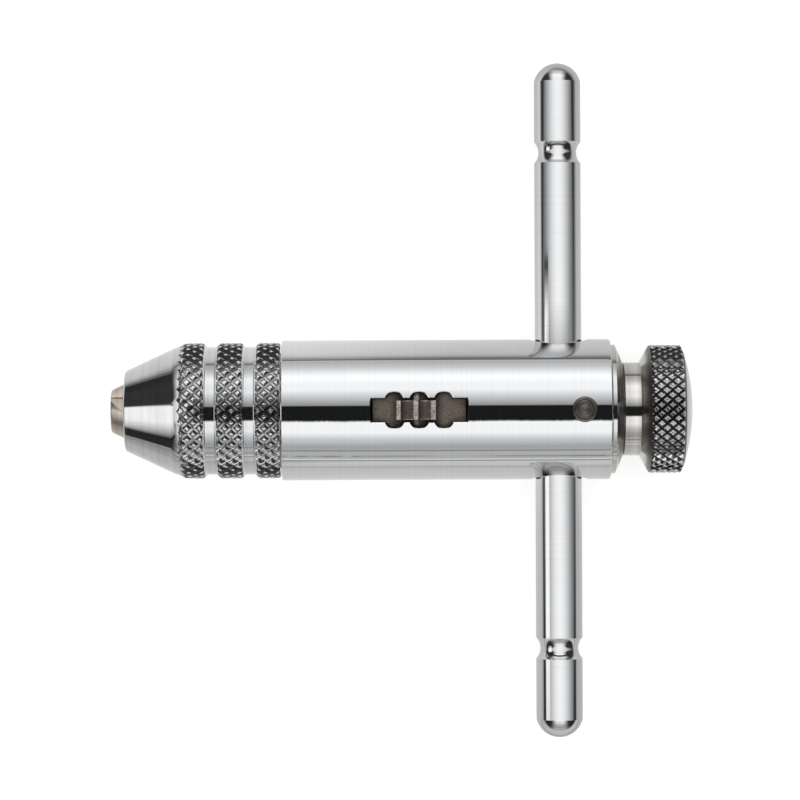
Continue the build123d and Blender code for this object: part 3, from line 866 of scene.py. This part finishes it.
def make_housing():
    """Barrel with the selector's window, the keyway under it and the two cross holes."""
    edge = 0.24
    chamber_x = 59.10
    spindle_bore = 6.53
    keyway_start, keyway_half_width, keyway_top = 29.9, 2.8, 9.1
    recess_end, recess_radius = housing_front + 0.95, 8.55

    # The skin is cut into short stretches here, so that the window and the holes leave no long thin faces.
    first, last, stretches = housing_front + 14.0, housing_rear - 1.0, 70
    stations = [first + (last - first) * step / stretches for step in range(stretches + 1)]
    profile = [
        (housing_front, housing_radius - edge),
        *arc((housing_front, housing_radius - edge), (housing_front + edge, housing_radius), edge, 1, 4),
        *[(x, housing_radius) for x in stations],
        (housing_rear - edge, housing_radius),
        *arc((housing_rear - edge, housing_radius), (housing_rear, housing_radius - edge), edge, 1, 4),
        (housing_rear, shank_radius),
        (chamber_x, shank_radius),
        (chamber_x, spindle_bore),
        (recess_end, spindle_bore),
        (recess_end, recess_radius),
        (housing_front, recess_radius),
    ]
    barrel = turned("housing_barrel", profile, 192)
    keyway = slab(
        "keyway",
        (keyway_start, chamber_x + 0.1),
        (-keyway_half_width, keyway_half_width),
        (0, keyway_top),
    )
    combine(barrel, keyway, "DIFFERENCE")
    combine(barrel, window_tool(), "DIFFERENCE")
    hole = bar_radius + 0.17
    flare = 0.9
    beyond = housing_radius + 1.75
    right = [
        (housing_radius - flare, hole),
        (housing_radius, hole + flare),
        (beyond, hole + flare + 0.75),
        (beyond, 0),
    ]
    left = [(-x, reach) for x, reach in reversed(right)]
    reamer = turned("drill", left + right, 96)
    take(reamer)
    bpy.ops.transform.rotate(value=pi / 2, orient_axis="Z", center_override=(0, 0, 0))
    bpy.ops.transform.translate(value=(bar_x * MM, 0, 0))
    bpy.ops.object.transform_apply(location=True, rotation=True, scale=True)
    combine(barrel, reamer, "DIFFERENCE")
    combine(barrel, ball_drill(), "DIFFERENCE")
    settle(barrel, smooth=12)
    finish_piece(barrel, "housing", housing_chrome, "housing_chrome", "housing")


# Sliding bar

def make_bar():
    """Bar with domed ends and a round groove near each end."""
    half = (bar_high - bar_low) / 2
    dome = 2.7
    dome_radius = (bar_radius**2 + dome**2) / (2 * dome)
    groove, groove_half, groove_depth = 36.25, 1.54, 0.63
    groove_radius = (groove_half**2 + groove_depth**2) / (2 * groove_depth)
    right = [
        (groove - groove_half, bar_radius),
        *arc((groove - groove_half, bar_radius), (groove + groove_half, bar_radius), groove_radius, -1, 14),
        (half - dome, bar_radius),
        *arc((half - dome, bar_radius), (half, 0), dome_radius, 1, 14),
    ]
    left = [(-x, reach) for x, reach in reversed(right)]
    bar = turned("sliding_bar", left + right, 96, closed=False)
    take(bar)
    bpy.ops.transform.rotate(value=pi / 2, orient_axis="Z", center_override=(0, 0, 0))
    bpy.ops.transform.translate(value=(bar_x * MM, (bar_low + bar_high) / 2 * MM, 0))
    settle(bar, smooth=12)
    finish_piece(bar, "tommy_bar", bar_chrome, "bar_chrome", "tommy_bar")


# Clamping knob

def make_knob():
    """Knob's turned body and its knurled grip."""
    tip_chamfer = 0.4
    edge_x, edge_radius = grip_end + 0.45, 8.35
    dome = knob_rear - edge_x
    dome_radius = (edge_radius**2 + dome**2) / (2 * dome)
    core = knob_radius - knurl_height - under_valleys
    profile = [
        (knob_front, 0),
        (knob_front, screw_radius - tip_chamfer),
        (knob_front + tip_chamfer, screw_radius),
        (neck_start, screw_radius),
        (neck_start, neck_radius - chamfer),
        (neck_start + chamfer, neck_radius),
        (neck_end, neck_radius),
        (grip_start - 0.03, knob_radius - 0.05),
        (grip_start, knob_radius - 0.09),
        (grip_start, core),
        (grip_end + 0.2, core),
        (edge_x, edge_radius),
        *arc((edge_x, edge_radius), (knob_rear, 0), dome_radius, 1, 12),
    ]
    body = turned("knob_body", profile, 128, closed=False)
    finish_piece(body, "clamp_knob", knob_chrome, "knob_chrome", "clamp_knob")
    crest = knob_radius - 0.01
    below = core - 0.6
    outline = [
        (grip_start - 0.02, below),
        (grip_start - 0.02, crest - 0.06),
        (grip_start + 0.04, crest),
        (grip_end, crest),
        (edge_x, edge_radius + 0.02),
        (edge_x, below),
    ]
    grip = knurled_band(
        "knob_grip", outline, knob_knurl_pitch, knob_knurl_count, knob_radius, knob_bridge
    )
    finish_piece(grip, "clamp_knob", grip_chrome, "knob_chrome")


# Rear bush and plug

def make_bush():
    """Bush in the housing's rear, with the screw's bore, the pad's bore, the bar's hole and the ball's."""
    shank = shank_radius - 0.02
    cone_foot = bush_radius - 2.6
    screw_bore, screw_floor = screw_radius + 0.05, bush_rear - 3.75
    pad_bore = 4.11
    profile = [
        (bush_front, 0),
        (bush_front, shank),
        (housing_rear, shank),
        (housing_rear, bush_radius - chamfer),
        (housing_rear + chamfer, bush_radius),
        (flange_end - 0.06, bush_radius),
        (flange_end + 0.03, bush_radius - 0.06),
        (bush_rear - 0.04, cone_foot + 0.06),
        (bush_rear, cone_foot - 0.08),
        (bush_rear, screw_bore),
        (screw_floor, screw_bore),
        (screw_floor, pad_bore),
        (bar_x, pad_bore),
        (bar_x, 0),
    ]
    bush = turned("bush", profile, 128)
    combine(bush, drill("drill", bar_radius + 0.05, -10, 10, "Y", bar_x, 96), "DIFFERENCE")
    combine(bush, ball_drill(), "DIFFERENCE")
    settle(bush, smooth=12)
    finish_piece(bush, "housing", knob_chrome, "knob_chrome", "rear_bush")


def make_plug():
    """Plug of the ball's hole: a small disc whose face was pressed in with a round punch."""
    profile = [
        (plug_foot, 0),
        (plug_foot, plug_radius),
        (plug_face - 0.14, plug_radius),
        (plug_face - 0.04, plug_radius - 0.06),
        (plug_face, plug_radius - 0.18),
        (plug_face, plug_radius - 0.34),
        (plug_face - 0.13, plug_radius - 0.44),
        (plug_face - 0.13, plug_radius - 0.52),
        (plug_face - 0.03, plug_radius - 0.66),
        (plug_face - 0.05, plug_radius - 0.86),
        (plug_face - 0.16, plug_radius - 0.98),
        (plug_face - 0.12, 0.40),
        (plug_face - 0.07, 0.16),
        (plug_face - 0.06, 0),
    ]
    plug = turned("plug", profile, 64, closed=False, smooth=30)
    take(plug)
    bpy.ops.transform.rotate(value=pi / 2, orient_axis="Y", center_override=(0, 0, 0))
    bpy.ops.transform.translate(value=(plug_x * MM, 0, 0))
    settle(plug, smooth=30)
    finish_piece(plug, "housing", plug_steel, "dark_steel", "detent_plug")


make_housing()
make_sleeve()
make_bar()
make_knob()
refined("selector", "selector_slide", "selector", selector_steel, "selector_steel", 0.10, 40)
make_bush()
make_plug()
refined("jaw_upper", "jaw_one", "jaw_upper", jaw_steel, "jaw_steel", 0.16)
refined("jaw_lower", "jaw_two", "jaw_lower", jaw_steel, "jaw_steel", 0.16)

for node, metal in {
    "thrust_washer": spindle_steel,
    "spindle": spindle_steel,
    "retaining_ring": spring_steel,
    "sleeve_stop_ring": spring_steel,
    "jaw_spring_near": spring_steel,
    "jaw_spring_far": spring_steel,
    "pawl": dark_steel,
    "pawl_spring": spring_steel,
    "detent_ball": spring_steel,
    "detent_spring": spring_steel,
    "clamp_pad": dark_steel,
}.items():
    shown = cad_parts[node]
    shown.data.materials.clear()
    shown.data.materials.append(metal)


# Studio

def glow(board, colour, level):
    """Ends a material with plain light."""
    light = board.node("ShaderNodeEmission", inputs={"Color": colour, "Strength": level})
    board.node("ShaderNodeOutputMaterial", inputs={"Surface": light})


def only_seen_by(thing, *rays):
    """Hides a thing from every kind of ray but those named."""
    for ray in ("camera", "diffuse", "glossy", "transmission", "volume_scatter", "shadow"):
        setattr(thing, "visible_" + ray, ray in rays)


def add_disc(name, material):
    """A wide disc on which the tool lies, centred under it."""
    deselect()
    bpy.ops.mesh.primitive_circle_add(
        vertices=96,
        radius=400 * MM,
        fill_type="NGON",
        location=(42 * MM, 1.4 * MM, floor_z * MM),
    )
    disc = bpy.context.object
    disc.name = name
    disc.data.materials.append(material)
    return disc


def add_card(name, material, size, tilt, place):
    """A flat card, tilted round the Y axis by degrees, with its middle at a place."""
    deselect()
    bpy.ops.mesh.primitive_plane_add(size=1)
    card = bpy.context.object
    card.name = name
    card.scale = (size[0] * MM, size[1] * MM, 1)
    card.rotation_euler = (0, radians(tilt), 0)
    card.location = Vector(place) * MM
    bpy.ops.object.transform_apply(location=True, rotation=True, scale=True)
    card.data.materials.append(material)
    only_seen_by(card, "glossy")
    return card


def make_floor():
    """A pale floor under the tool, another that only metal mirrors, and a pale backdrop for the camera."""
    fade_start, fade_end = 95, 145
    material, board = finish("pale_floor")
    x, y, _ = board.place()
    reach = ((x * x + y * y) ** 0.5) / MM
    paper = board.node("ShaderNodeBsdfDiffuse", inputs={"Color": (0.80, 0.80, 0.79, 1)})
    light = board.node("ShaderNodeEmission", inputs={"Color": (1, 1, 0.99, 1), "Strength": 0.62})
    both = board.node("ShaderNodeAddShader", inputs={0: paper, 1: light})
    clear = board.node("ShaderNodeBsdfTransparent")
    edge = board.node("ShaderNodeMixShader", inputs={0: reach.ramp(fade_start, fade_end), 1: both, 2: clear})
    board.node("ShaderNodeOutputMaterial", inputs={"Surface": edge})
    disc = add_disc("floor", material)
    only_seen_by(disc, "camera", "diffuse", "shadow")

    # In mirrors the floor dims outwards and towards the bar's upper end, and has a thin dark seam.
    seam_y = -60
    material, board = finish("floor_in_mirrors")
    x, y, _ = board.place()
    reach = ((x * x + y * y) ** 0.5) / MM
    along = x / MM
    across = y / MM
    level = across.slopes(0.86, (-90, -60, -0.13), (-20, -8, 0.13), (0, 10, -0.11))
    level = level - reach.line(15, 75, 0, 0.16) - reach.line(75, 170, 0, 0.36) * across.line(-20, 20)
    level = level + along.line(-20, 10, 0.18, 0) * across.line(0, 10)
    level = level - along.line(-90, -20, 0.30, 0) * across.line(-100, -40, 1, 0)
    seam = abs(across - seam_y).ramp(0.8, 3.0, 0.62, 1.0)
    glow(board, (0.99, 1, 0.985, 1), level * seam)
    mirrored = add_disc("floor_in_mirrors", material)
    only_seen_by(mirrored, "glossy")

    deselect()
    bpy.ops.mesh.primitive_uv_sphere_add(segments=64, ring_count=32, radius=2, location=(0, 0, 0))
    dome = bpy.context.object
    dome.name = "backdrop"
    floor_cut = {"plane_co": (0, 0, (floor_z - 0.2) * MM), "plane_no": (0, 0, 1)}
    bpy.ops.object.mode_set(mode="EDIT")
    bpy.ops.mesh.select_all(action="SELECT")
    bpy.ops.mesh.bisect(clear_inner=True, use_fill=True, **floor_cut)
    bpy.ops.object.mode_set(mode="OBJECT")
    material, board = finish("pale_backdrop")
    glow(board, (1, 1, 1, 1), 0.97)
    dome.data.materials.append(material)
    only_seen_by(dome, "camera")


def make_room():
    """
    Soft light told from its direction: roll is its angle round the tool's axis from straight up, positive
    towards the bar's upper end, and lean its angle out of the plane across that axis, both in degrees.
    """
    world = bpy.data.worlds.new("studio")
    bpy.context.scene.world = world
    world.use_nodes = True
    board = Board(world.node_tree)
    way = board.node("ShaderNodeTexCoord", output="Generated")
    x, y, z = [board.node("ShaderNodeSeparateXYZ", inputs={0: way}, output=axis) for axis in range(3)]
    roll = y.sum("ARCTAN2", y, z) * degrees(1)
    lean = abs(x.sum("ARCSINE", x) * degrees(1))

    # Over the tool it is bright, and dims for light that leans towards the nose or the knob.
    over = 0.10 + 1.14 * (1 - x * x)

    # On both sides of that it is bright and dims downwards, with two thin seams towards the bar's lower end.
    upper_side = roll.slopes(1.20, (44, 54, 0.14), (58, 75, -0.60), (75, 90, -0.26))
    lower_side = roll.slopes(1.32, (-34, -48, -0.54), (-48, -62, -0.32), (-64, -74, 0.08))
    patches = board.noise(1 / 26, x, detail=1.0).ramp(0.38, 0.58, 1.0, 0.5)
    seams = abs(roll + 70.5).ramp(0.4, 2.0, 0.55, 1.0) * abs(roll + 82).ramp(0.6, 2.6, patches, 1.0)
    side = upper_side.smaller(lower_side * seams) * lean.ramp(12, 40, 1.0, 0.02)

    aside = (abs(roll) + lean.line(30, 46, 0, 8)).ramp(18, 28)
    above = over * (1 - aside) + side * aside
    horizon = z.ramp(-0.06, 0.0) * z.fall(0.0, 0.06) * y.line(-0.1, 0.1, 0.45, 0.2)
    level = above * z.ramp(-0.02, 0.02) + 0.02 + horizon
    light = board.node("ShaderNodeBackground", inputs={"Color": (0.97, 0.985, 1.0, 1), "Strength": level})
    board.node("ShaderNodeOutputWorld", inputs={"Surface": light})


def make_cards():
    """A black card over the tool, and a white one in front of its nose."""
    material, board = finish("black_card")
    x, y, _ = board.place()
    along = x / MM
    across = y / MM
    ragged = board.noise(0.5 * MM, x, detail=3.0) + board.noise(9 * MM, x)
    share = (across + 1.6 * ragged - 1.6).ramp(-9.4, -7.4) * along.line(88, 91, 1.0, 0.86)
    share = share * (1 - across.line(2.9, 3.5, 0, 0.28) - across.line(3.5, 16.5, 0, 0.72))
    black = board.node("ShaderNodeEmission", inputs={"Color": (0.9, 0.95, 1, 1), "Strength": 0.012})
    clear = board.node("ShaderNodeBsdfTransparent")
    soft = board.node("ShaderNodeMixShader", inputs={0: share, 1: clear, 2: black})
    board.node("ShaderNodeOutputMaterial", inputs={"Surface": soft})
    card = add_card("black_card", material, (104, 52), 0, (61, 4, 30.25))

    material, board = finish("white_card")
    across = board.place()[1] / MM
    glow(board, (1, 1, 1, 1), across.line(-140, -45, 0.0, 1.3) * across.line(18, 28, 1.0, 0.0))
    front = add_card("white_card", material, (80, 180), -49, (-113.6, -60, 98.5))


def make_camera():
    """Straight above the tool, far enough for the photograph's mild perspective."""
    data = bpy.data.cameras.new("camera")
    camera = bpy.data.objects.new("camera", data)
    bpy.context.scene.collection.objects.link(camera)
    distance = 540.0
    frame_width = 117.2
    frame_centre = (42.22, 1.46)
    roll = -0.25
    data.sensor_width = 36.0
    data.lens = data.sensor_width * distance / frame_width
    camera.location = Vector((*frame_centre, distance)) * MM
    camera.rotation_euler = (0, 0, radians(roll))
    data.clip_start = 0.01
    data.clip_end = 10
    bpy.context.scene.camera = camera


make_floor()
make_room()
make_cards()
make_camera()
bpy.context.scene.view_settings.view_transform = "Standard"

deselect()
